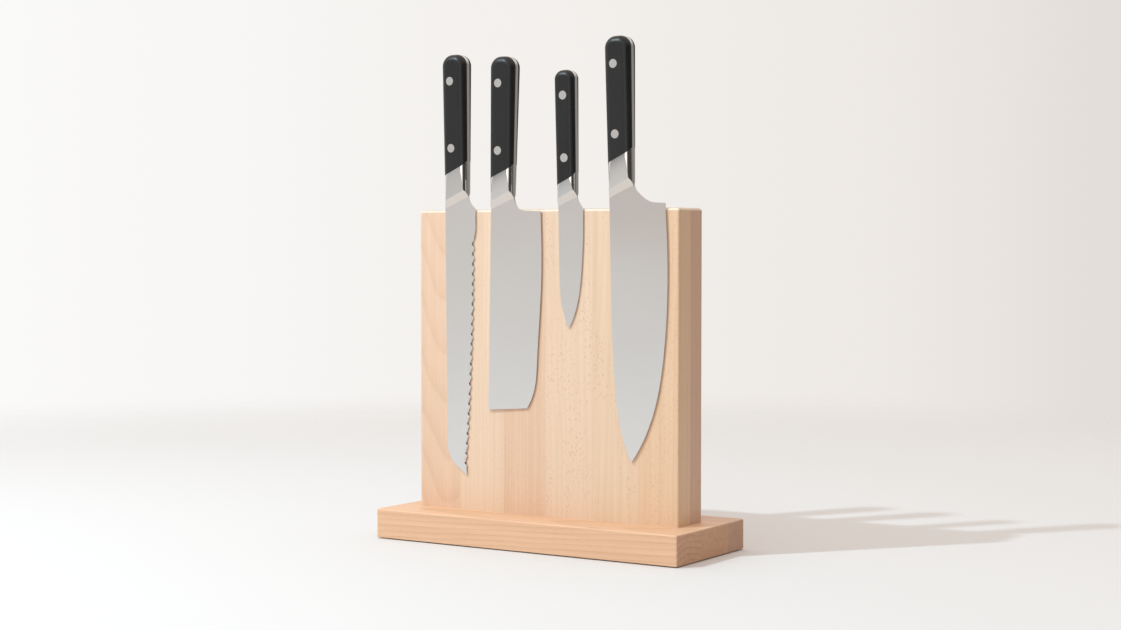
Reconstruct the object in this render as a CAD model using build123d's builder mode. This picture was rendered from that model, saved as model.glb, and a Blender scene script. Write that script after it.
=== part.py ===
"""Free-standing magnetic knife block with four knives.

A laminated beech panel stands on a beech base.  Disc magnets sealed between the two layers of
the panel hold a bread knife, a nakiri, a paring knife and a chef's knife by their blades.

Frame: millimetres, +Z up, +X to the right along the panel, -Y towards the knives.  The origin is
on the resting plane, under the middle of the base.
"""
import os
from dataclasses import dataclass
from math import atan2, cos, radians, sin, tan

from build123d import *

os.makedirs("parts", exist_ok=True)

# ---- base ----
base_side_margin = 19.0  # how far the base reaches past each end of the panel
base_front_margin = 36.5  # how far it reaches past the panel's front, and past its rear
base_height = 24.0
base_edge_round = 1.5
base_stave_shares = (40.5, 43.5, 27.0)  # relative depths, front to rear

# ---- feet ----
foot_diameter = 18.0
foot_thickness = 2.5
foot_proud = 1.0  # how far a foot stands out of the base
foot_inset = 20.0  # from the base's edges to a foot's middle
foot_clearance = 0.2  # round a foot, in its recess

# ---- panel ----
panel_width = 250.0
panel_height = 250.0
panel_thickness = 38.0
panel_top_round = 2.5
panel_edge_round = 1.5
panel_stave_shares = (41.0, 44.0, 41.0, 44.5, 43.0, 36.5)  # relative widths, left to right

# ---- magnets ----
magnet_diameter = 25.0
magnet_thickness = 8.0
magnet_clearance = 0.2  # round a magnet, in its pocket
magnet_skin = 2.0  # wood left between a magnet and the panel's face
upper_magnets_below_top = 42.0
lower_magnets_below_top = 112.0

# ---- what fixes the panel to the base ----
screw_diameter = 5.0
screw_length = 60.0
screw_head_diameter = 10.0
screw_head_height = 3.5
screw_key_width = 4.0  # hexagon socket, across its flats
screw_key_depth = 2.0
screw_clearance = 0.3  # round a screw, in the base
counterbore_depth = 6.0
screw_staves = (0, 5)
dowel_diameter = 8.0
dowel_length = 40.0
dowel_floor = 3.0  # wood left under a dowel's hole
dowel_end_gap = 1.0  # room for glue past each end of a dowel
dowel_staves = (1, 4)

# ---- knives, what they share ----
blade_gap = 0.25  # between a blade's spine and the panel's face
tang_thickness = 3.6
scale_slant = 24.0  # degrees, front end of the handle scales against a square cut
scale_corner_round = 10.0  # belly corner of that end
scale_corner_past = 0.3  # how far past the belly the corner's round would end
rivet_diameter = 7.0
lower_rivet_height = 18.5  # above the front end of the scales
upper_rivet_share = 0.23  # of the scales' length, below the butt
rivet_inset = 9.4  # in from the handle's back edge
butt_crown = 1.3  # how far the butt bows out between its corners
bolster_taper = 1.6  # how far each face of the bolster drops from the scales to the ramp
edge_thickness = 0.3  # at the widest point of a blade

# ---- what follows from those ----
base_length = panel_width + 2 * base_side_margin
base_depth = panel_thickness + 2 * base_front_margin
base_bottom = foot_proud
base_top = base_bottom + base_height
panel_top = base_top + panel_height
panel_face = -panel_thickness / 2
layer_thickness = panel_thickness / 2


@dataclass
class Knife:
    """A knife in its own frame: u from the spine to the edge, v up from the heel, n to the front."""

    name: str
    place: float  # spine, as a share of the panel's width from its left edge
    perch: float  # heel above the top of the panel
    lean: float  # degrees, top of the knife to the left
    blade_length: float  # heel to tip
    blade_width: float  # spine to heel
    spine_thickness: float
    tip_thickness: float
    widest: tuple  # where the blade is ground thinnest, in shares of its width and length
    tip: tuple  # the tip, in shares of the width and length
    neck: float  # heel up to the ramp of the bolster
    ramp: float  # height of the ramp from the blade to the bolster
    bolster: float  # height of the bolster above its ramp
    scale_length: float
    handle_inset: float  # handle's back edge in from the spine
    handle_width: float
    bolster_width: float
    handle_thickness: float
    bolster_thickness: float
    handle_round: float
    butt_round: float

    @property
    def plane(self):
        """Middle plane of the blade, facing forward, with its origin on the spine at the heel."""
        middle = panel_face - blade_gap - self.spine_thickness / 2
        origin = ((self.place - 0.5) * panel_width, middle, panel_top + self.perch)
        lean = radians(self.lean)
        return Plane(origin=origin, x_dir=(cos(lean), 0, sin(lean)), z_dir=(0, -1, 0))

    @property
    def ramp_top(self):
        return self.neck + self.ramp

    @property
    def scale_end(self):
        return self.ramp_top + self.bolster

    @property
    def butt(self):
        return self.scale_end + self.scale_length

    @property
    def handle_middle(self):
        return self.handle_inset + self.bolster_width / 2


bread = Knife(
    name="bread_knife", place=0.112, perch=1.0, lean=0.5,
    blade_length=222.0, blade_width=30.5, spine_thickness=2.0, tip_thickness=0.6,
    widest=(0.94, 0.24), tip=(0.62, 1.0),
    neck=5.5, ramp=5.5, bolster=20.5, scale_length=96.0, handle_inset=1.0, handle_width=22.9,
    bolster_width=22.2, handle_thickness=16.8, bolster_thickness=13.2, handle_round=5.7, butt_round=9.5,
)
nakiri = Knife(
    name="nakiri_knife", place=0.298, perch=-0.8, lean=-1.1,
    blade_length=164.4, blade_width=48.0, spine_thickness=2.2, tip_thickness=1.6,
    widest=(1.04, 0.35), tip=(0.0, 1.0),
    neck=6.0, ramp=6.0, bolster=18.5, scale_length=95.3, handle_inset=0.0, handle_width=22.9,
    bolster_width=22.0, handle_thickness=16.8, bolster_thickness=13.2, handle_round=5.7, butt_round=9.5,
)
paring = Knife(
    name="paring_knife", place=0.560, perch=0.0, lean=1.0,
    blade_length=96.5, blade_width=22.9, spine_thickness=1.8, tip_thickness=0.6,
    widest=(1.0, 0.1), tip=(0.33, 1.0),
    neck=6.0, ramp=5.5, bolster=10.5, scale_length=88.9, handle_inset=0.0, handle_width=18.2,
    bolster_width=17.6, handle_thickness=14.6, bolster_thickness=12.0, handle_round=5.2, butt_round=7.5,
)
chef = Knife(
    name="chef_knife", place=0.754, perch=2.5, lean=1.2,
    blade_length=204.0, blade_width=50.0, spine_thickness=2.4, tip_thickness=0.7,
    widest=(1.02, 0.3), tip=(0.31, 1.0),
    neck=10.5, ramp=6.0, bolster=20.5, scale_length=95.7, handle_inset=0.0, handle_width=22.9,
    bolster_width=22.0, handle_thickness=16.8, bolster_thickness=13.2, handle_round=5.7, butt_round=9.5,
)
serration_pitch = 8.0
serration_depth = 1.7
serration_tilt = 50.0  # degrees, grinding wheel's axis against square to the blade
serration_wheel_width = 12.0
plain_heel = 25.0  # length of the bread knife's edge that has no serrations


def write(part, name):
    """Label a finished piece and write its STEP file."""
    part.label = name
    export_step(part, f"parts/{name}.step")


def shares_to_spans(shares, total):
    """Lows and highs of strips that fill a total width about its middle, from relative widths."""
    spans = []
    low = -total / 2
    for share in shares:
        high = low + total * share / sum(shares)
        spans.append((low, high))
        low = high
    return spans


panel_spans = shares_to_spans(panel_stave_shares, panel_width)
base_spans = shares_to_spans(base_stave_shares, base_depth)


def fixing_points(staves):
    """Places of screws or dowels: the middle of each named stave, in both layers."""
    points = []
    for index in staves:
        middle = sum(panel_spans[index]) / 2
        for side in (-1, 1):
            points.append((middle, side * layer_thickness / 2))
    return points


foot_points = GridLocations(base_length - 2 * foot_inset, base_depth - 2 * foot_inset, 2, 2).locations
screw_points = fixing_points(screw_staves)
dowel_points = fixing_points(dowel_staves)
screw_head_seat = base_bottom + counterbore_depth
dowel_bottom = base_bottom + dowel_floor + dowel_end_gap
dowel_top = dowel_bottom + dowel_length


def make_base():
    """The whole base, before it is cut into staves."""
    with BuildPart() as base:
        with BuildSketch(Plane.XY.offset(base_bottom)):
            Rectangle(base_length, base_depth)
        extrude(amount=base_height)
        fillet(base.edges().filter_by(Axis.Z), base_edge_round)
        fillet(base.faces().sort_by(Axis.Z)[-1].edges(), base_edge_round)
        with BuildSketch(Plane.XY.offset(base_bottom)):
            with Locations(*foot_points):
                Circle(foot_diameter / 2 + foot_clearance)
        extrude(amount=foot_thickness - foot_proud, mode=Mode.SUBTRACT)
        with BuildSketch(Plane.XY.offset(base_bottom)):
            with Locations(*screw_points):
                Circle(screw_head_diameter / 2 + screw_clearance)
        extrude(amount=counterbore_depth, mode=Mode.SUBTRACT)
        with BuildSketch(Plane.XY.offset(base_bottom)):
            with Locations(*screw_points):
                Circle(screw_diameter / 2 + screw_clearance)
        extrude(amount=base_height, mode=Mode.SUBTRACT)
        with BuildSketch(Plane.XY.offset(base_top)):
            with Locations(*dowel_points):
                Circle(dowel_diameter / 2)
        extrude(amount=dowel_floor - base_height, mode=Mode.SUBTRACT)
    return base.part


def make_base_staves(base):
    for name, (low, high) in zip(("front", "middle", "rear"), base_spans):
        with BuildPart() as stave:
            add(base)
            with BuildSketch(Plane.XY):
                with Locations((0, (low + high) / 2)):
                    Rectangle(base_length, high - low)
            extrude(amount=base_top, mode=Mode.INTERSECT)
        write(stave.part, f"base_stave_{name}")


def magnet_points(below_top):
    """Middle of each panel stave at one height, as (x, z)."""
    return [(sum(span) / 2, panel_top - below_top) for span in panel_spans]


def make_panel():
    """The whole panel, both layers, before it is cut into staves."""
    with BuildPart() as panel:
        with BuildSketch(Plane.XY.offset(base_top)):
            Rectangle(panel_width, panel_thickness)
        extrude(amount=panel_height)
        fillet(panel.edges().filter_by(Axis.Z), panel_edge_round)
        fillet(panel.faces().sort_by(Axis.Z)[-1].edges(), panel_top_round)
        with BuildSketch(Plane.XZ):
            with Locations(*magnet_points(upper_magnets_below_top), *magnet_points(lower_magnets_below_top)):
                Circle(magnet_diameter / 2 + magnet_clearance)
        extrude(amount=layer_thickness - magnet_skin, both=True, mode=Mode.SUBTRACT)
        with BuildSketch(Plane.XY.offset(base_top)):
            with Locations(*screw_points):
                Circle(screw_diameter / 2)
        extrude(amount=screw_head_seat + screw_length - base_top, mode=Mode.SUBTRACT)
        with BuildSketch(Plane.XY.offset(base_top)):
            with Locations(*dowel_points):
                Circle(dowel_diameter / 2)
        extrude(amount=dowel_top + dowel_end_gap - base_top, mode=Mode.SUBTRACT)
    return panel.part


def make_panel_staves(panel):
    for layer, side in (("front", -1), ("rear", 1)):
        for number, (low, high) in enumerate(panel_spans, start=1):
            with BuildPart() as stave:
                add(panel)
                with BuildSketch(Plane.XY.offset(base_top)):
                    with Locations(((low + high) / 2, side * layer_thickness / 2)):
                        Rectangle(high - low, layer_thickness)
                extrude(amount=panel_height, mode=Mode.INTERSECT)
            write(stave.part, f"panel_{layer}_stave_{number}")


def make_magnets():
    """Four rows of discs, each disc against the wooden skin at the end of its pocket."""
    rows = (("upper", upper_magnets_below_top), ("lower", lower_magnets_below_top))
    for layer, side in (("front", 1), ("rear", -1)):
        for row, below_top in rows:
            with BuildPart() as magnets:
                with BuildSketch(Plane.XZ.offset(side * (layer_thickness - magnet_skin))):
                    with Locations(*magnet_points(below_top)):
                        Circle(magnet_diameter / 2)
                extrude(amount=-side * magnet_thickness)
            write(magnets.part, f"magnets_{layer}_{row}")


def make_screws():
    with BuildPart() as screws:
        with BuildSketch(Plane.XY.offset(screw_head_seat)):
            with Locations(*screw_points):
                Circle(screw_head_diameter / 2)
        extrude(amount=-screw_head_height)
        with BuildSketch(Plane.XY.offset(screw_head_seat)):
            with Locations(*screw_points):
                Circle(screw_diameter / 2)
        extrude(amount=screw_length)
        with BuildSketch(Plane.XY.offset(screw_head_seat - screw_head_height)):
            with Locations(*screw_points):
                RegularPolygon(screw_key_width / 2, 6, major_radius=False)
        extrude(amount=screw_key_depth, mode=Mode.SUBTRACT)
    write(screws.part, "base_screws")


def make_dowels():
    with BuildPart() as dowels:
        with BuildSketch(Plane.XY.offset(dowel_bottom)):
            with Locations(*dowel_points):
                Circle(dowel_diameter / 2)
        extrude(amount=dowel_length)
    write(dowels.part, "base_dowels")


def make_feet():
    names = ("front_left", "rear_left", "front_right", "rear_right")
    for name, place in zip(names, foot_points):
        with BuildPart() as foot:
            with BuildSketch(Plane.XY):
                with Locations(place):
                    Circle(foot_diameter / 2)
            extrude(amount=foot_thickness)
            fillet(foot.faces().sort_by(Axis.Z)[0].edges(), foot_proud / 2)
        write(foot.part, f"foot_{name}")


# ---- blade outlines, each in its knife's own frame ----


def serrated_arc(knife):
    """Start, middle and end of the bread knife's serrated edge, a shallow arc."""
    width = knife.blade_width
    length = knife.blade_length
    return (0.93 * width, -plain_heel), (0.83 * width, -0.56 * length), (0.61 * width, -0.97 * length)


def bread_outline(knife):
    """Long narrow blade, with a short plain edge at the heel and a point curved from the spine."""
    width = knife.blade_width
    length = knife.blade_length
    start = knife.neck + knife.ramp
    back = knife.handle_inset + knife.bolster_width
    with BuildSketch() as outline:
        with BuildLine():
            top = Line((0, start), (back, start))
            choil = Spline(top @ 1, (0.98 * width, 0), tangents=((0.1, -1), (0.8, -0.6)))
            heel = Line(choil @ 1, (0.98 * width, -0.7 * plain_heel))
            edge = ThreePointArc(*serrated_arc(knife))
            Line(heel @ 1, edge @ 0)
            point = Line(edge @ 1, (0.62 * width, -length))
            nose = Spline(point @ 1, (0.23 * width, -0.96 * length), (0, -0.88 * length),
                          tangents=((-0.8, 0.6), (0, 1)))
            Line(nose @ 1, top @ 0)
        make_face()
    return outline.sketch


def nakiri_outline(knife):
    """Tall blade with a gently bowed edge, a square end and a small rounded corner."""
    width = knife.blade_width
    length = knife.blade_length
    start = knife.neck + knife.ramp
    back = knife.handle_inset + knife.bolster_width
    with BuildSketch() as outline:
        with BuildLine():
            top = Line((0, start), (back, start))
            choil = Spline(top @ 1, (back + 2.6, 4.4), (back + 9, 0.4), tangents=((0.1, -1), (1, -0.1)))
            heel = Line(choil @ 1, (width, 0))
            edge = Spline(heel @ 1, (1.035 * width, -0.36 * length), (0.975 * width, -0.75 * length),
                          (0.893 * width, -0.92 * length), (0.785 * width, -0.98 * length),
                          tangents=((0.06, -1), (-0.6, -0.8)))
            end = Line(edge @ 1, (0, -length))
            Line(end @ 1, top @ 0)
        make_face()
    return outline.sketch


def paring_outline(knife):
    """Short blade whose edge sweeps up to a point near the spine."""
    width = knife.blade_width
    length = knife.blade_length
    start = knife.neck + knife.ramp
    back = knife.handle_inset + knife.bolster_width
    with BuildSketch() as outline:
        with BuildLine():
            top = Line((0, start), (back, start))
            choil = Spline(top @ 1, (back + 1.6, 5.6), (width, 0), tangents=((0.05, -1), (0.55, -0.8)))
            edge = Spline(choil @ 1, (0.985 * width, -0.25 * length), (0.91 * width, -0.5 * length),
                          (0.75 * width, -0.76 * length), (0.33 * width, -length),
                          tangents=((0.02, -1), (-0.62, -0.8)))
            spine = Spline(edge @ 1, (0.09 * width, -0.82 * length), (0, -0.45 * length),
                           tangents=((-0.4, 0.9), (0, 1)))
            Line(spine @ 1, top @ 0)
        make_face()
    return outline.sketch


def chef_outline(knife):
    """Wide blade with a long bowed edge and a spine that drops to the point."""
    width = knife.blade_width
    length = knife.blade_length
    start = knife.neck + knife.ramp
    back = knife.handle_inset + knife.bolster_width
    with BuildSketch() as outline:
        with BuildLine():
            top = Line((0, start), (back, start))
            choil = Spline(top @ 1, (back + 5, 8.2), (back + 15, 1.6), (width, 0),
                           tangents=((0.15, -1), (1, -0.15)))
            edge = Spline(choil @ 1, (1.02 * width, -0.3 * length), (0.908 * width, -0.62 * length),
                          (0.71 * width, -0.82 * length), (0.31 * width, -length),
                          tangents=((0.06, -1), (-0.65, -0.8)))
            spine = Spline(edge @ 1, (0.118 * width, -0.86 * length), (0.03 * width, -0.66 * length),
                           (0, -0.4 * length), tangents=((-0.45, 0.9), (0, 1)))
            Line(spine @ 1, top @ 0)
        make_face()
    return outline.sketch


# ---- knife pieces ----


def grind_plane(knife, side):
    """Flat side of a blade: full thickness at the spine, thin at the edge, thinner to the tip."""
    frame = knife.plane
    width = knife.blade_width
    length = knife.blade_length
    spine = Vector(0, 0, side * knife.spine_thickness / 2)
    edge = Vector(knife.widest[0] * width, -knife.widest[1] * length, side * edge_thickness / 2)
    tip = Vector(knife.tip[0] * width, -knife.tip[1] * length, side * knife.tip_thickness / 2)
    normal = (edge - spine).cross(tip - spine) * -side
    return Plane(
        origin=frame.from_local_coords(spine),
        z_dir=frame.from_local_coords(normal) - frame.origin,
    )


def cheek_plane(knife, side):
    """Outer face of a handle, which thickens from the bolster to the butt."""
    frame = knife.plane
    growth = (knife.handle_thickness - knife.bolster_thickness) / 2
    angle = atan2(growth, knife.scale_length)
    origin = (0, knife.scale_end, side * knife.bolster_thickness / 2)
    return Plane(
        origin=frame.from_local_coords(origin),
        z_dir=frame.z_dir * side * cos(angle) - frame.y_dir * sin(angle),
    )


def slanted(knife, height, thickness):
    """Spine and belly ends of a line across the grip, at the slant of the scales' front end."""
    rise = knife.bolster_width / 2 * tan(radians(scale_slant))
    spine = Vector(knife.handle_inset, height - rise, thickness)
    belly = Vector(knife.handle_inset + knife.bolster_width, height + rise, thickness)
    return spine, belly


def plane_through(knife, line, point, side):
    """Plane through a slanted line and a point, facing out of the grip's front or rear."""
    frame = knife.plane
    spine, belly = (Vector(end.X, end.Y, side * end.Z) for end in line)
    below = Vector(point.X, point.Y, side * point.Z)
    normal = (belly - spine).cross(spine - below) * side
    return Plane(
        origin=frame.from_local_coords(spine),
        z_dir=frame.from_local_coords(normal) - frame.origin,
    )


def make_grip(knife):
    """Scales, tang and bolster in one, from the foot of the bolster's ramp to the butt."""
    inset = knife.handle_inset
    bottom = slanted(knife, knife.neck, 0)[0].Y
    corner = knife.butt - butt_crown
    with BuildPart() as grip:
        with BuildSketch(knife.plane):
            with BuildLine():
                back = Line((inset, bottom), (inset, corner))
                belly = Line((inset + knife.bolster_width, bottom), (inset + knife.handle_width, corner))
                ThreePointArc(back @ 1, (inset + knife.handle_width / 2, knife.butt), belly @ 1)
                Line(back @ 0, belly @ 0)
            make_face()
        extrude(amount=knife.handle_thickness / 2, both=True)
        for side in (-1, 1):
            split(bisect_by=cheek_plane(knife, side), keep=Keep.BOTTOM)
        fillet(grip.edges().filter_by(Axis.Y).sort_by(Axis.Z)[-2:], knife.butt_round)
        cheeks = grip.faces().sort_by(Axis.Y)
        rims = cheeks[0].edges().sort_by(Axis.Z)[1:] + cheeks[-1].edges().sort_by(Axis.Z)[1:]
        fillet(rims, knife.handle_round)
    return grip.part


def rivet_places(knife):
    inset = knife.handle_inset + rivet_inset
    return (
        (inset, knife.scale_end + lower_rivet_height),
        (inset, knife.butt - upper_rivet_share * knife.scale_length),
    )


def scale_outline(knife):
    """Side view of the scales, with room to spare past the spine, belly and butt."""
    slope = tan(radians(scale_slant))
    spine = slanted(knife, knife.scale_end, 0)[0]
    left = -knife.handle_width
    right = knife.handle_inset + knife.handle_width + scale_corner_past
    top = knife.butt + knife.handle_width
    with BuildSketch() as outline:
        with BuildLine():
            FilletPolyline(
                (left, spine.Y + (left - spine.X) * slope),
                (right, spine.Y + (right - spine.X) * slope),
                (right, top),
                radius=scale_corner_round,
            )
            Polyline((right, top), (left, top), (left, spine.Y + (left - spine.X) * slope))
        make_face()
    return outline.sketch


def make_scales(knife, grip):
    for name, side in (("front", 1), ("rear", -1)):
        with BuildPart() as scale:
            add(grip)
            with BuildSketch(knife.plane.offset(side * tang_thickness / 2)):
                add(scale_outline(knife))
                with Locations(*rivet_places(knife)):
                    Circle(rivet_diameter / 2, mode=Mode.SUBTRACT)
            extrude(amount=side * knife.handle_thickness, mode=Mode.INTERSECT)
        write(scale.part, f"{knife.name}_scale_{name}")
        yield scale.part


def make_rivets(knife, grip):
    """Two rivets, dressed flush with both scales."""
    with BuildPart() as rivets:
        with BuildSketch(knife.plane):
            with Locations(*rivet_places(knife)):
                Circle(rivet_diameter / 2)
        extrude(amount=knife.handle_thickness, both=True)
        add(grip, mode=Mode.INTERSECT)
    write(rivets.part, f"{knife.name}_rivets")


def make_bolster_and_tang(knife, grip, scales):
    """What the scales leave of the grip, with the bolster's faces tapered and ramped to the blade."""
    lean = (knife.handle_thickness - knife.bolster_thickness) / 2 / knife.scale_length
    rise = slanted(knife, 0, 0)[1].Y * lean
    cheek = knife.bolster_thickness / 2
    shoulder = Vector(knife.handle_middle, knife.ramp_top, cheek - bolster_taper)
    foot = Vector(knife.handle_middle, knife.neck, knife.spine_thickness / 2)
    spine, belly = slanted(knife, knife.scale_end, cheek)
    scale_line = (spine - Vector(0, 0, rise), belly + Vector(0, 0, rise))
    with BuildPart() as metal:
        add(grip)
        for side in (-1, 1):
            split(bisect_by=plane_through(knife, scale_line, shoulder, side), keep=Keep.BOTTOM)
            split(bisect_by=plane_through(knife, slanted(knife, knife.ramp_top, shoulder.Z), foot, side),
                  keep=Keep.BOTTOM)
        for scale in scales:
            add(scale, mode=Mode.SUBTRACT)
        with BuildSketch(knife.plane):
            with Locations(*rivet_places(knife)):
                Circle(rivet_diameter / 2)
        extrude(amount=knife.handle_thickness, both=True, mode=Mode.SUBTRACT)
    return metal.part


def serration_planes(knife):
    """Axis of the grinding wheel at each serration, along the edge between the plain heel and tip."""
    frame = knife.plane
    tilt = radians(serration_tilt)
    sagitta = serration_depth * cos(tilt)
    wheel = (serration_pitch**2 / 4 + sagitta**2) / (2 * sagitta)
    with BuildLine() as serrated:
        ThreePointArc(*serrated_arc(knife))
    edge = serrated.edges()[0]
    count = int(edge.length / serration_pitch)
    planes = []
    for index in range(count):
        spot = edge @ ((index + 0.5) / count)
        centre = (spot.X + (wheel - sagitta) * cos(tilt), spot.Y, (wheel - sagitta) * sin(tilt))
        axis = frame.z_dir * cos(tilt) - frame.x_dir * sin(tilt)
        planes.append(Plane(origin=frame.from_local_coords(centre), z_dir=axis))
    return wheel, planes


def make_blade(knife, bolster_and_tang, outline):
    """One forging: blade, bolster and full tang."""
    with BuildPart() as blade:
        with BuildSketch(knife.plane):
            add(outline)
        extrude(amount=knife.spine_thickness / 2, both=True)
        for side in (-1, 1):
            split(bisect_by=grind_plane(knife, side), keep=Keep.BOTTOM)
        if knife is bread:
            wheel, planes = serration_planes(knife)
            with Locations(*planes):
                Cylinder(wheel, serration_wheel_width, mode=Mode.SUBTRACT)
        add(bolster_and_tang)
    write(blade.part, f"{knife.name}_blade")


outlines = (
    (bread, bread_outline),
    (nakiri, nakiri_outline),
    (paring, paring_outline),
    (chef, chef_outline),
)

make_base_staves(make_base())
make_panel_staves(make_panel())
make_magnets()
make_screws()
make_dowels()
make_feet()
for knife, outline in outlines:
    grip = make_grip(knife)
    scales = list(make_scales(knife, grip))
    make_rivets(knife, grip)
    make_blade(knife, make_bolster_and_tang(knife, grip, scales), outline(knife))
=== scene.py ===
"""Looks of the magnetic knife block with four knives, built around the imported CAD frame."""
import math

import bpy
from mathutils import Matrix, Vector

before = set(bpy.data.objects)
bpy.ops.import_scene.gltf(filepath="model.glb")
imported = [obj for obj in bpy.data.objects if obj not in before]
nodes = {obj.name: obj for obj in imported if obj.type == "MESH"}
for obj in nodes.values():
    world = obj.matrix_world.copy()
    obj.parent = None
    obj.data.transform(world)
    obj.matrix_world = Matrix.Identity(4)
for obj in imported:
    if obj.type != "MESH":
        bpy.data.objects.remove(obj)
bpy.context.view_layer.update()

scene = bpy.context.scene
scene.view_settings.view_transform = "Standard"

# ---- camera, lamp and surroundings, in metres ----
CAMERA_PLACE = Vector((0.8706, -1.3558, 0.2463))
CAMERA_TURN = math.radians(32.597)  # to the left of looking along +Y
CAMERA_DIP = math.radians(2.056)
CAMERA_LENS = 63.12  # millimetres, on a sensor this wide
SENSOR_WIDTH = 36.0
LAMP_PLACE = Vector((-0.730, -1.075, 1.563))
LAMP_POWER = 86.0
LAMP_RADIUS = 0.03
LAMP_COLOUR = (0.72, 0.90, 1.0)
FLOOR_RADIUS = 3.0
FLOOR_FADE = (0.9, 1.7)  # the floor melts into the surroundings between these radii
FLOOR_COLOUR = (0.712, 0.707, 0.712, 1)
# surroundings by azimuth, in degrees from the front (-Y) towards the right (+X): colour at eye level
SKY = (
    (-180, (0.50, 0.48, 0.46)),
    (-166, (0.745, 0.705, 0.675)),
    (-155, (0.855, 0.820, 0.795)),
    (-146, (0.900, 0.875, 0.850)),
    (-137, (0.940, 0.930, 0.920)),
    (-128, (0.965, 0.965, 0.960)),
    (-85, (0.96, 0.94, 0.92)),
    (-60, (0.86, 0.83, 0.80)),
    (-33, (0.745, 0.71, 0.68)),
    (-15, (0.60, 0.57, 0.54)),
    (-3, (0.36, 0.34, 0.32)),
    (8, (1.7, 1.64, 1.58)),
    (32, (1.5, 1.45, 1.40)),
    (45, (0.07, 0.064, 0.058)),
    (104, (0.06, 0.054, 0.05)),
    (126, (0.26, 0.24, 0.22)),
    (152, (0.33, 0.31, 0.285)),
)
SKY_TOP = (1.10, 1.01, 0.93, 1)  # overhead
SKY_RISE = (0.22, 0.75)  # upward part of a direction, between which eye level turns to overhead
# what shows of it behind the block: the plain backdrop, without the bright and dark screens
BACKDROP = (
    (-180, (0.76, 0.725, 0.695)),
    (-166, (0.745, 0.705, 0.675)),
    (-155, (0.855, 0.820, 0.795)),
    (-146, (0.900, 0.875, 0.850)),
    (-137, (0.940, 0.930, 0.920)),
    (-128, (0.965, 0.965, 0.960)),
    (-60, (0.94, 0.93, 0.92)),
    (40, (0.88, 0.86, 0.84)),
    (130, (0.82, 0.79, 0.77)),
)


# ---- wood: scales are repeats per metre, across the grain twice and then along it ----
WANDER_SCALE = (14.0, 14.0, 5.0)
STREAK_SCALE = (800.0, 800.0, 16.0)
BAND_SCALE = (190.0, 190.0, 2.5)
BROAD_SCALE = (24.0, 24.0, 4.0)
FLECK_SCALE = (680.0, 680.0, 215.0)
PATCH_SCALE = (55.0, 55.0, 18.0)
PORE_SCALE = (2200.0, 2200.0, 200.0)
FLECK_TONE = (0.36, 0.20, 0.11, 1)
NARROW_TONE = (0.30, 0.17, 0.10, 1)
NARROW_DEPTH = {"z": 0.13, "x": 0.0}  # share of that tone on a stave's narrow faces, by its grain
END_LIGHT = (0.84, 0.80, 0.79, 1)
END_DARK = (0.56, 0.48, 0.44, 1)
# painted highlight: a paler tone on the eased edges of a stave's ends, where the rounds catch the light
EASED_HIGHLIGHT_TONE = (0.92, 0.80, 0.68, 1)
EASED_HIGHLIGHT_DEPTH = {"z": 0.6, "x": 0.12}  # share of that tone on the eased edges of a stave's ends
WOOD_ROUGHNESS = 0.42
WOOD_SPECULAR = 0.35
SEED_SHIFT = (1.0, 0.37, 0.71)  # where a seed moves the figure to

# ---- steel: a pair says how far a normal leans where a mask starts, and where it is full ----
STEEL = (0.745, 0.735, 0.725, 1)
LINE_TONE = 0.965  # of the steel's tone, in the brush lines
# painted reflection: a warmer tone on the ramp below the bolster, for the wood and floor it mirrors
RAMP_REFLECTION_TONE = (0.715, 0.67, 0.63, 1)
# painted reflection: a warmer, darker tone on the blade towards its heel
HEEL_REFLECTION_TONE = (0.655, 0.60, 0.57, 1)
# painted shade: a near-black tone just below where the scales meet the bolster
SCALE_SHADE_TONE = (0.02, 0.02, 0.02, 1)
STEEL_ROUGHNESS = 0.31
BRUSH_SCALE = (45.0, 45.0, 5200.0)
CLOUD_SCALE = (28.0, 28.0, 19.0)
ROUND_LEAN = (0.09, 0.17)
LEVEL_LEAN = (0.28, 0.40)
RAMP_LEAN = (0.20, 0.45)
TAPER_LEAN = (0.025, 0.06)
SCALE_SLANT = math.radians(24.0)  # of the line where the scales meet the bolster
SHADE_DEPTH = 0.006  # how far below that line the shade has mostly gone
# heights of the painted reflection towards the heel
HEEL_REFLECTION_RISE = (0.215, 0.275)  # heights between which the blade turns warmer

# ---- handles and small parts ----
MARK_SCALE = (2400.0, 2400.0, 60.0)
MOULD_SCALE = (3000.0, 3000.0, 3000.0)
SHEEN_SCALE = (60.0, 60.0, 30.0)
POLYMER_DARK = (0.0075, 0.0075, 0.008, 1)
POLYMER_LIGHT = (0.013, 0.013, 0.0135, 1)
POLYMER_SPECULAR = 0.36
SPECKLE_SCALE = (1800.0, 1800.0, 1800.0)
SPECKLE_TONE = 0.9  # of a small metal part's tone
RIVET_STEEL = (0.66, 0.655, 0.65, 1)
NICKEL = (0.62, 0.61, 0.60, 1)
ZINC = (0.55, 0.56, 0.58, 1)
RUBBER_SCALE = (1500.0, 1500.0, 1500.0)
RUBBER_DARK = (0.035, 0.034, 0.033, 1)
RUBBER_LIGHT = (0.055, 0.054, 0.052, 1)
PAPER_SCALE = (900.0, 900.0, 900.0)


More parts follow.
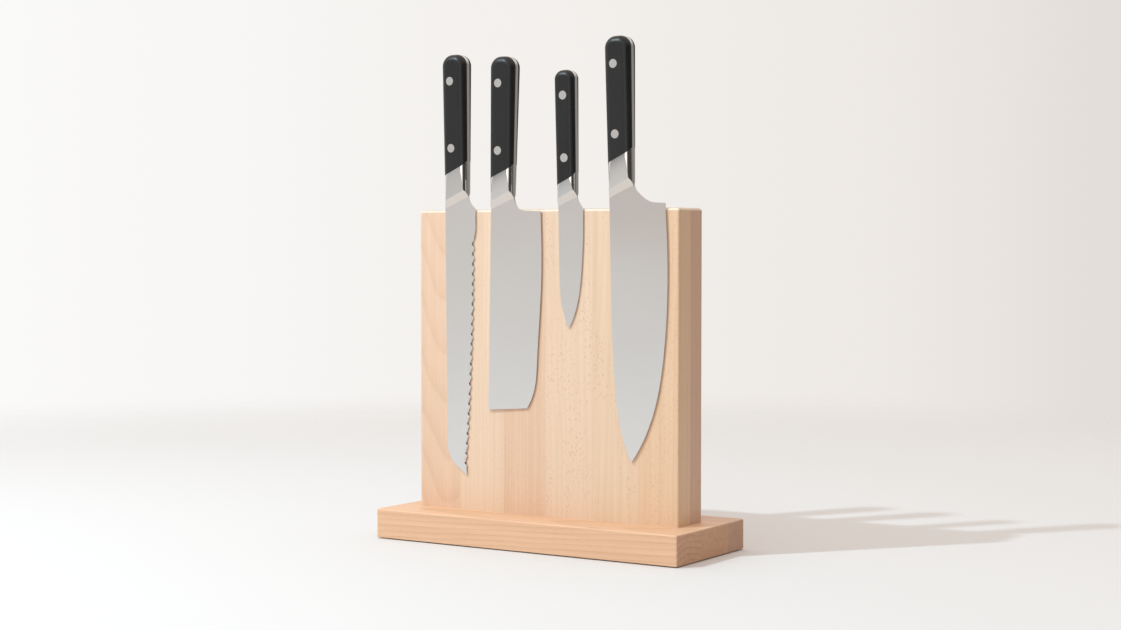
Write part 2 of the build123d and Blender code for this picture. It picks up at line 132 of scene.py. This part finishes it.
class Nodes:
    """Short hand for building one node tree."""

    def __init__(self, tree):
        self.tree = tree
        tree.nodes.clear()

    def add(self, kind, inputs=None, **settings):
        node = self.tree.nodes.new(kind)
        for name, value in settings.items():
            setattr(node, name, value)
        for name, value in (inputs or {}).items():
            self.feed(node.inputs[name], value)
        return node

    def feed(self, socket, value):
        if isinstance(value, bpy.types.NodeSocket):
            self.tree.links.new(value, socket)
        else:
            socket.default_value = value

    def math(self, operation, first, second=0.0, third=0.0, clamp=False):
        node = self.add("ShaderNodeMath", {0: first, 1: second, 2: third}, operation=operation)
        node.use_clamp = clamp
        return node.outputs[0]

    def vector_math(self, operation, first, second=(0, 0, 0)):
        node = self.add("ShaderNodeVectorMath", {0: first, 1: second}, operation=operation)
        return node.outputs["Value" if operation in ("DOT_PRODUCT", "LENGTH") else "Vector"]

    def remap(self, value, low, high, to_low=0.0, to_high=1.0, smooth=True):
        inputs = {"Value": value, "From Min": low, "From Max": high, "To Min": to_low, "To Max": to_high}
        node = self.add("ShaderNodeMapRange", inputs)
        node.interpolation_type = "SMOOTHSTEP" if smooth else "LINEAR"
        return node.outputs["Result"]

    def mix(self, factor, first, second, blend="MIX"):
        node = self.add("ShaderNodeMix", data_type="RGBA", blend_type=blend)
        self.feed(node.inputs["Factor"], factor)
        self.feed(node.inputs[6], first)
        self.feed(node.inputs[7], second)
        return node.outputs[2]

    def noise(self, vector, scale, detail, roughness=0.5):
        """Noise stretched along each axis: scale is in repeats per metre."""
        stretched = self.vector_math("MULTIPLY", vector, scale)
        inputs = {"Vector": stretched, "Scale": 1.0, "Detail": detail, "Roughness": roughness}
        return self.add("ShaderNodeTexNoise", inputs).outputs["Fac"]

    def combine(self, x, y, z):
        return self.add("ShaderNodeCombineXYZ", {"X": x, "Y": y, "Z": z}).outputs[0]

    def object_place(self):
        return self.add("ShaderNodeTexCoord").outputs["Object"]

    def separate(self, vector):
        return self.add("ShaderNodeSeparateXYZ", {0: vector}).outputs

    def ramp(self, turn, colours):
        """Colours round the horizon, by azimuth in degrees, that join up behind."""
        ramp = self.add("ShaderNodeValToRGB", {"Fac": turn})
        ramp.color_ramp.interpolation = "EASE"
        stops = ramp.color_ramp.elements
        stops.remove(stops[1])
        stops[0].position = 0.0
        stops[0].color = colours[0][1] + (1,)
        for angle, colour in colours[1:] + ((180, colours[0][1]),):
            stop = stops.new((angle + 180) / 360)
            stop.color = colour + (1,)
        return ramp.outputs["Color"]

    def bump(self, height, strength, distance):
        inputs = {"Height": height, "Strength": strength, "Distance": distance}
        return self.add("ShaderNodeBump", inputs).outputs["Normal"]

    def principled(self, inputs):
        shader = self.add("ShaderNodeBsdfPrincipled", inputs)
        output = self.add("ShaderNodeOutputMaterial")
        self.tree.links.new(shader.outputs[0], output.inputs["Surface"])
        return shader


def new_material(name):
    material = bpy.data.materials.new(name)
    material.use_nodes = True
    return material, Nodes(material.node_tree)


def darker(colour, share):
    return tuple(share * part for part in colour[:3]) + (1,)


def beech(name, along, seed, light, dark, pith, tilt, ring, arches=1.0, flecks=1.0):
    """Beech with its grain along one axis.

    pith is where the heart of the tree lay, across the grain, in metres; tilt leans it along the
    grain, which draws arches on a face that the rings only graze.  ring is the width of a ring.
    """
    material, n = new_material(name)
    x, y, z = n.separate(n.object_place())
    across, deep, far = {"z": (x, y, z), "x": (y, z, x)}[along]
    place = n.vector_math("ADD", n.combine(across, deep, far), tuple(seed * part for part in SEED_SHIFT))

    # growth rings: a soft rise to a thin dark line, round a pith that wanders slowly
    wander = n.math("SUBTRACT", n.noise(place, WANDER_SCALE, 2.0), 0.5)
    side = n.math("SUBTRACT", across, n.math("MULTIPLY_ADD", far, tilt[0], pith[0]))
    depth = n.math("SUBTRACT", deep, n.math("MULTIPLY_ADD", far, tilt[1], pith[1]))
    radius = n.vector_math("LENGTH", n.combine(side, depth, 0.0))
    radius = n.math("MULTIPLY_ADD", wander, ring * 3.0, radius)
    phase = n.math("FRACT", n.math("DIVIDE", radius, ring))
    rise = n.math("POWER", phase, 3.0)
    fall = n.remap(phase, 0.90, 1.0, 1.0, 0.0)
    rings = n.math("MULTIPLY", rise, fall)

    # fibre streaks, bands, broad shading and the short dark ray flecks
    streaks = n.noise(place, STREAK_SCALE, 3.0, 0.6)
    bands = n.noise(place, BAND_SCALE, 2.0)
    broad = n.noise(place, BROAD_SCALE, 2.0)
    cells = n.add("ShaderNodeTexVoronoi", {
        "Vector": n.vector_math("MULTIPLY", place, FLECK_SCALE), "Scale": 1.0, "Randomness": 1.0,
    })
    fleck = n.remap(cells.outputs["Distance"], 0.12, 0.30, 1.0, 0.0)
    patches = n.noise(place, PATCH_SCALE, 2.0)
    fleck = n.math("MULTIPLY", fleck, n.remap(patches, 0.36, 0.60))

    tone = n.math("MULTIPLY_ADD", rings, 0.75 * arches, n.math("MULTIPLY", broad, 0.5))
    tone = n.math("MULTIPLY_ADD", n.math("SUBTRACT", streaks, 0.5), 0.45, tone)
    tone = n.math("MULTIPLY_ADD", n.math("SUBTRACT", bands, 0.5), 0.9, tone, clamp=True)
    colour = n.mix(tone, light, dark)
    colour = n.mix(n.math("MULTIPLY", fleck, 0.36 * flecks), colour, FLECK_TONE)

    # a stave's narrow faces are a little darker than its wide ones
    normal = n.separate(n.add("ShaderNodeTexCoord").outputs["Normal"])
    beside = n.remap(n.math("ABSOLUTE", normal[{"z": 0, "x": 1}[along]]), 0.5, 0.95)
    colour = n.mix(n.math("MULTIPLY", beside, NARROW_DEPTH[along]), colour, NARROW_TONE)

    # end grain drinks more oil, so it is darker and duller, with fine pores
    facing = n.math("ABSOLUTE", normal[{"z": 2, "x": 0}[along]])
    end = n.remap(facing, 0.6, 0.95)
    pores = n.noise(place, PORE_SCALE, 2.0, 0.7)
    pores = n.remap(pores, 0.42, 0.62)
    wear = n.math("MULTIPLY_ADD", rings, 0.14, n.math("MULTIPLY", pores, 0.66), clamp=True)
    end_colour = n.mix(wear, END_LIGHT, END_DARK)
    colour = n.mix(end, colour, n.mix(1.0, colour, end_colour, "MULTIPLY"))

    # a paler tone painted on the eased edges of an end is a painted highlight of those rounds; they are
    # also smoother
    eased_highlight = n.remap(facing, 0.10, 0.40)
    eased_highlight = n.math("SUBTRACT", eased_highlight, n.remap(facing, 0.80, 0.98))
    colour = n.mix(n.math("MULTIPLY", eased_highlight, EASED_HIGHLIGHT_DEPTH[along]), colour, EASED_HIGHLIGHT_TONE)

    rough = n.math("MULTIPLY_ADD", streaks, 0.16, WOOD_ROUGHNESS)
    rough = n.math("MULTIPLY_ADD", end, 0.14, rough)
    rough = n.math("MULTIPLY_ADD", eased_highlight, -0.10, rough)
    height = n.math("MULTIPLY_ADD", fleck, -0.5, streaks)
    height = n.math("MULTIPLY_ADD", n.math("MULTIPLY", pores, end), -0.8, height)
    n.principled({
        "Base Color": colour,
        "Roughness": rough,
        "Specular IOR Level": WOOD_SPECULAR,
        "Normal": n.bump(height, 0.3, 0.0001),
    })
    return material


def satin_steel(name, lean, joint, shade, bolster, heel):
    """Satin flats, brushed from the spine to the edge of a knife that leans a little; polished rounds.

    joint is the middle of the line where the scales meet the bolster, as x and z; shade is how dark the
    painted shade along that line is; bolster is the tone of the bolster's faces, a painted shade, and
    heel how much warmer the blade is painted towards its heel, a painted reflection.
    """
    material, n = new_material(name)
    coordinates = n.add("ShaderNodeTexCoord").outputs
    turned = {"Vector": coordinates["Object"], "Rotation": (0, lean, 0)}
    place = n.add("ShaderNodeMapping", turned).outputs[0]
    lines = n.noise(place, BRUSH_SCALE, 3.0, 0.65)
    clouds = n.noise(place, CLOUD_SCALE, 3.0)

    # rounds and narrow sides face along the blade's width, and flats and ramps don't
    facing = n.separate(coordinates["Normal"])
    aside = n.remap(n.math("ABSOLUTE", facing[0]), *ROUND_LEAN)
    level = n.remap(n.math("ABSOLUTE", facing[2]), *LEVEL_LEAN, 1.0, 0.0)
    polish = n.math("MULTIPLY", aside, level)

    # the bolster tapers down to its ramp, which faces well down
    down = n.math("MULTIPLY", facing[2], -1.0)
    ramp = n.remap(down, *RAMP_LEAN)
    taper_shade = n.math("SUBTRACT", n.remap(down, *TAPER_LEAN), ramp)

    # the painted shade along the scales, a near-black tone, fades with the distance below them
    slant = SCALE_SLANT + lean
    x, _, z = n.separate(coordinates["Object"])
    below = n.math("MULTIPLY", n.math("SUBTRACT", x, joint[0]), math.sin(slant))
    below = n.math("MULTIPLY_ADD", n.math("SUBTRACT", z, joint[1]), -math.cos(slant), below)
    dark = n.math("POWER", math.e, n.math("DIVIDE", below, -SHADE_DEPTH))
    dark = n.math("MULTIPLY", dark, n.math("GREATER_THAN", below, 0.0))
    dark = n.math("MULTIPLY", dark, n.math("SUBTRACT", 1.0, aside))

    # the blade itself, painted warmer and darker towards its heel as a painted reflection
    blade = n.math("MULTIPLY", n.remap(down, *TAPER_LEAN, 1.0, 0.0), n.math("SUBTRACT", 1.0, aside))
    warm_reflection = n.math("MULTIPLY", n.remap(z, *HEEL_REFLECTION_RISE, 0.0, heel), blade)

    rough = n.math("MULTIPLY_ADD", n.math("SUBTRACT", lines, 0.5), 0.14, STEEL_ROUGHNESS)
    rough = n.math("MULTIPLY_ADD", n.math("SUBTRACT", clouds, 0.5), 0.05, rough)
    rough = n.math("MULTIPLY_ADD", polish, -0.22, rough)
    tint = n.mix(n.remap(lines, 0.3, 0.7), STEEL, darker(STEEL, LINE_TONE))
    # painted reflection: the blade warmer towards its heel
    tint = n.mix(warm_reflection, tint, HEEL_REFLECTION_TONE)
    # painted shade: a darker tone on the bolster's flanks, set knife by knife
    tint = n.mix(taper_shade, tint, darker(STEEL, bolster))
    # painted reflection: a warmer tone on the ramp
    tint = n.mix(ramp, tint, RAMP_REFLECTION_TONE)
    # painted shade below the scales
    tint = n.mix(n.math("MULTIPLY", dark, shade), tint, SCALE_SHADE_TONE)
    strength = n.math("MULTIPLY_ADD", polish, -0.05, 0.06)
    n.principled({
        "Base Color": tint,
        "Metallic": 1.0,
        "Roughness": rough,
        "Normal": n.bump(lines, strength, 0.00003),
    })
    return material


def black_polymer(name, seed):
    """Black moulded handle scales, polished to a soft sheen, with faint grinding marks along them."""
    material, n = new_material(name)
    place = n.vector_math("ADD", n.object_place(), (seed, 0.0, seed))
    marks = n.noise(place, MARK_SCALE, 3.0, 0.6)
    grain = n.noise(place, MOULD_SCALE, 2.0)
    clouds = n.noise(place, SHEEN_SCALE, 2.0)
    rough = n.math("MULTIPLY_ADD", marks, 0.10, 0.30)
    rough = n.math("MULTIPLY_ADD", clouds, 0.08, rough)
    colour = n.mix(clouds, POLYMER_DARK, POLYMER_LIGHT)
    height = n.math("MULTIPLY_ADD", grain, 0.4, marks)
    n.principled({
        "Base Color": colour,
        "Roughness": rough,
        "Specular IOR Level": POLYMER_SPECULAR,
        "Normal": n.bump(height, 0.12, 0.00004),
    })
    return material


def plain_metal(name, colour, roughness):
    """Small turned or plated metal parts, with circular wear too fine to see as lines."""
    material, n = new_material(name)
    speckle = n.noise(n.object_place(), SPECKLE_SCALE, 3.0)
    rough = n.math("MULTIPLY_ADD", n.math("SUBTRACT", speckle, 0.5), 0.15, roughness)
    tint = n.mix(speckle, colour, darker(colour, SPECKLE_TONE))
    n.principled({
        "Base Color": tint,
        "Metallic": 1.0,
        "Roughness": rough,
        "Normal": n.bump(speckle, 0.05, 0.00003),
    })
    return material


def foot_rubber(name):
    material, n = new_material(name)
    grain = n.noise(n.object_place(), RUBBER_SCALE, 3.0)
    n.principled({
        "Base Color": n.mix(grain, RUBBER_DARK, RUBBER_LIGHT),
        "Roughness": n.math("MULTIPLY_ADD", grain, 0.15, 0.72),
        "Normal": n.bump(grain, 0.2, 0.0001),
    })
    return material


def dress(node, material):
    """Gives a CAD node one material in every slot."""
    mesh = nodes[node].data
    if not mesh.materials:
        mesh.materials.append(material)
    for index in range(len(mesh.materials)):
        mesh.materials[index] = material


def make_camera():
    data = bpy.data.cameras.new("camera")
    data.lens = CAMERA_LENS
    data.sensor_width = SENSOR_WIDTH
    data.clip_start = 0.05
    data.clip_end = 50.0
    camera = bpy.data.objects.new("camera", data)
    camera.location = CAMERA_PLACE
    camera.rotation_euler = (math.pi / 2 - CAMERA_DIP, 0.0, CAMERA_TURN)
    scene.collection.objects.link(camera)
    scene.camera = camera


def make_lamp():
    data = bpy.data.lights.new("lamp", "POINT")
    data.energy = LAMP_POWER
    data.color = LAMP_COLOUR
    data.shadow_soft_size = LAMP_RADIUS
    lamp = bpy.data.objects.new("lamp", data)
    lamp.location = LAMP_PLACE
    scene.collection.objects.link(lamp)


def make_world():
    """Studio surroundings that the block mirrors, and the plain backdrop that shows behind it."""
    world = bpy.data.worlds.new("studio")
    scene.world = world
    world.use_nodes = True
    n = Nodes(world.node_tree)
    direction = n.add("ShaderNodeTexCoord").outputs["Generated"]
    x, y, z = n.separate(direction)
    azimuth = n.math("ARCTAN2", x, n.math("MULTIPLY", y, -1.0))
    turn = n.remap(azimuth, -math.pi, math.pi, smooth=False)
    studio = n.mix(n.remap(z, *SKY_RISE), n.ramp(turn, SKY), SKY_TOP)
    seen = n.add("ShaderNodeLightPath").outputs["Is Camera Ray"]
    colour = n.mix(seen, studio, n.ramp(turn, BACKDROP))
    background = n.add("ShaderNodeBackground", {"Color": colour, "Strength": 1.0})
    output = n.add("ShaderNodeOutputWorld")
    n.tree.links.new(background.outputs[0], output.inputs["Surface"])


def make_floor():
    """Plain pale floor, fading out far from the block."""
    rings = 48
    mesh = bpy.data.meshes.new("floor")
    corners = []
    for index in range(rings):
        angle = 2 * math.pi * index / rings
        corners.append((FLOOR_RADIUS * math.cos(angle), FLOOR_RADIUS * math.sin(angle), 0.0))
    mesh.from_pydata(corners, [], [list(range(rings))])
    floor = bpy.data.objects.new("floor", mesh)
    scene.collection.objects.link(floor)
    material, n = new_material("floor_paper")
    place = n.object_place()
    grain = n.noise(place, PAPER_SCALE, 2.0)
    shader = n.add("ShaderNodeBsdfPrincipled", {
        "Base Color": FLOOR_COLOUR,
        "Roughness": 0.8,
        "Specular IOR Level": 0.2,
        "Normal": n.bump(grain, 0.03, 0.0001),
    })
    clear = n.add("ShaderNodeBsdfTransparent")
    fade = n.remap(n.vector_math("LENGTH", place), *FLOOR_FADE)
    blend = n.add("ShaderNodeMixShader", {0: fade})
    n.tree.links.new(shader.outputs[0], blend.inputs[1])
    n.tree.links.new(clear.outputs[0], blend.inputs[2])
    output = n.add("ShaderNodeOutputMaterial")
    n.tree.links.new(blend.outputs[0], output.inputs["Surface"])
    mesh.materials.append(material)


make_camera()
make_lamp()
make_world()
make_floor()

# ---- wood: light and dark tone, where the pith lay, its tilt, width of a ring, arches, flecks ----
PALE = ((0.79, 0.59, 0.437, 1), (0.67, 0.475, 0.33, 1))
YELLOW = ((0.78, 0.585, 0.425, 1), (0.655, 0.455, 0.30, 1))
HONEY = ((0.78, 0.55, 0.375, 1), (0.645, 0.425, 0.265, 1))
ROSE = ((0.77, 0.542, 0.392, 1), (0.62, 0.40, 0.265, 1))
ORANGE = ((0.79, 0.507, 0.33, 1), (0.62, 0.365, 0.215, 1))
RUSSET = ((0.69, 0.46, 0.335, 1), (0.55, 0.345, 0.24, 1))
FRONT_LAYER = (
    (ROSE, (-0.098, 0.074), (0.0, -0.11), 0.0042, 0.6, 0.3),
    (PALE, (0.35, 0.22), (0.02, 0.0), 0.0034, 0.35, 0.6),
    (ROSE, (-0.40, 0.30), (0.01, 0.0), 0.0028, 0.35, 0.8),
    (PALE, (0.30, -0.42), (0.0, 0.02), 0.0030, 0.3, 1.3),
    (YELLOW, (-0.20, 0.45), (0.015, 0.0), 0.0032, 0.3, 1.2),
    (HONEY, (0.42, 0.20), (0.0, 0.01), 0.0036, 0.35, 0.8),
)
REAR_LAYER = (
    (ROSE, (0.30, -0.30), (0.01, 0.0), 0.0032, 0.35, 1.0),
    (PALE, (-0.063, -0.070), (0.0, 0.10), 0.0046, 0.6, 0.4),
    (RUSSET, (-0.35, 0.20), (0.0, 0.02), 0.0030, 0.35, 1.0),
    (YELLOW, (0.28, 0.35), (0.02, 0.0), 0.0034, 0.3, 1.0),
    (PALE, (0.078, -0.062), (0.0, 0.12), 0.0050, 0.6, 0.4),
    (RUSSET, (-0.30, -0.38), (0.01, 0.0), 0.0028, 0.35, 1.0),
)
BASE = (
    ("front", ORANGE, (-0.035, -0.05), (0.01, 0.04), 0.0044, 0.75, 0.5),
    ("middle", ORANGE, (0.12, -0.16), (0.01, 0.0), 0.0036, 0.4, 0.8),
    ("rear", RUSSET, (0.11, -0.03), (0.0, 0.01), 0.0032, 0.7, 0.8),
)
for layer, staves in (("front", FRONT_LAYER), ("rear", REAR_LAYER)):
    for number, (pair, *figure) in enumerate(staves, start=1):
        name = f"panel_{layer}_stave_{number}"
        seed = number * 3.7 + (0 if layer == "front" else 31.0)
        dress(name, beech(name, "z", seed, *pair, *figure))
for index, (place, pair, *figure) in enumerate(BASE):
    name = f"base_stave_{place}"
    dress(name, beech(name, "x", 60.0 + 5.3 * index, *pair, *figure))
dress("base_dowels", beech("dowel_beech", "z", 90.0, *PALE, (0.3, 0.2), (0.0, 0.0), 0.003))

# ---- knives ----
# lean in degrees, middle of the line where the scales meet the bolster (x and z in metres), painted
# shade along that line, tone of the bolster (a painted shade), warmth of the blade towards its heel (a
# painted reflection)
KNIVES = {
    "bread_knife": (0.5, (-0.0852, 0.3076), 0.15, 0.84, 0.15),
    "nakiri_knife": (-1.1, (-0.0389, 0.3045), 0.50, 0.97, 0.3),
    "paring_knife": (1.0, (0.0234, 0.2972), 0.30, 0.82, 0.25),
    "chef_knife": (1.2, (0.0737, 0.3147), 0.53, 0.97, 0.75),
}
rivet_steel = plain_metal("rivet_steel", RIVET_STEEL, 0.30)
for index, (knife, (lean, *finish)) in enumerate(KNIVES.items()):
    dress(f"{knife}_blade", satin_steel(f"{knife}_steel", math.radians(lean), *finish))
    dress(f"{knife}_scale_front", black_polymer(f"{knife}_polymer_front", 1.7 * index))
    dress(f"{knife}_scale_rear", black_polymer(f"{knife}_polymer_rear", 1.7 * index + 9.0))
    dress(f"{knife}_rivets", rivet_steel)

# ---- what the wood hides, and the feet ----
for node in ("magnets_front_upper", "magnets_front_lower", "magnets_rear_upper", "magnets_rear_lower"):
    dress(node, plain_metal(f"nickel_{node}", NICKEL, 0.22))
dress("base_screws", plain_metal("zinc", ZINC, 0.34))
rubber = foot_rubber("rubber")
for foot in ("front_left", "front_right", "rear_left", "rear_right"):
    dress(f"foot_{foot}", rubber)
